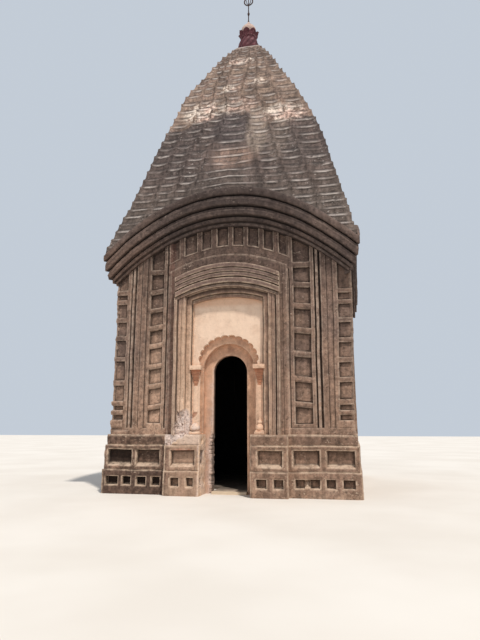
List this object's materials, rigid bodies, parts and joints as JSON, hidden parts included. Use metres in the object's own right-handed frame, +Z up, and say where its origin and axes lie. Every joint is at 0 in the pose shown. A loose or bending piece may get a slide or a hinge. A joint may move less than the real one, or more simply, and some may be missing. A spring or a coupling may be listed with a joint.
{
  "type": "bengal-style brick temple",
  "caption": "Small plastered brick temple: panelled plinth and walls, arched doorway in a stepped frame, curved cornice, stepped tapering tower and metal finial.",
  "frame": {"origin": "on the ground, at the bottom centre of the bounding box, under the tower's axis", "axes": "+Z up, -Y out of the doorway, +X to the right of someone facing the door"},
  "size_m": [4.88, 4.88, 12.165],
  "materials": {
    "plinth_plaster": "weathered lime plaster, brown",
    "floor_cement": "worn cement",
    "wall_plaster": "weathered lime plaster over brick, dark brown",
    "door_plaster": "orange-brown limewash, worn",
    "cream_plaster": "cream limewash",
    "tower_plaster": "rain-stained plaster, grey-brown",
    "kalasha_red": "faded maroon paint on plaster",
    "kalasha_cream": "cream paint on plaster",
    "iron": "rusted wrought iron"
  },
  "bodies": {
    "root": {"plinth_wing_left": "plinth_plaster", "plinth_wing_right": "plinth_plaster", "plinth_block_left": "plinth_plaster", "plinth_block_right": "plinth_plaster", "plinth_right": "plinth_plaster", "plinth_back": "plinth_plaster", "plinth_left": "plinth_plaster", "floor_slab": "floor_cement", "wall_front_left": "wall_plaster", "wall_front_right": "wall_plaster", "wall_right": "wall_plaster", "wall_back": "wall_plaster", "wall_left": "wall_plaster", "door_frame_left": "wall_plaster", "door_frame_right": "wall_plaster", "door_frame_head": "wall_plaster", "blind_bay_right": "wall_plaster", "blind_bay_back": "wall_plaster", "blind_bay_left": "wall_plaster", "cornice_front": "wall_plaster", "cornice_right": "wall_plaster", "cornice_back": "wall_plaster", "cornice_left": "wall_plaster", "jamb_left": "door_plaster", "jamb_right": "door_plaster", "colonnette_left": "door_plaster", "colonnette_right": "door_plaster", "wall_front_head": "cream_plaster", "tower_lower_front": "tower_plaster", "tower_lower_right": "tower_plaster", "tower_lower_back": "tower_plaster", "tower_lower_left": "tower_plaster", "tower_middle_front": "tower_plaster", "tower_middle_right": "tower_plaster", "tower_middle_back": "tower_plaster", "tower_middle_left": "tower_plaster", "tower_crown": "tower_plaster", "tower_cap_slab": "tower_plaster", "kalasha_bulb": "kalasha_red", "kalasha_lotus": "kalasha_red", "kalasha_cap": "kalasha_cream", "finial_rod": "iron", "finial_ring": "iron"}
  },
  "joints": []
}
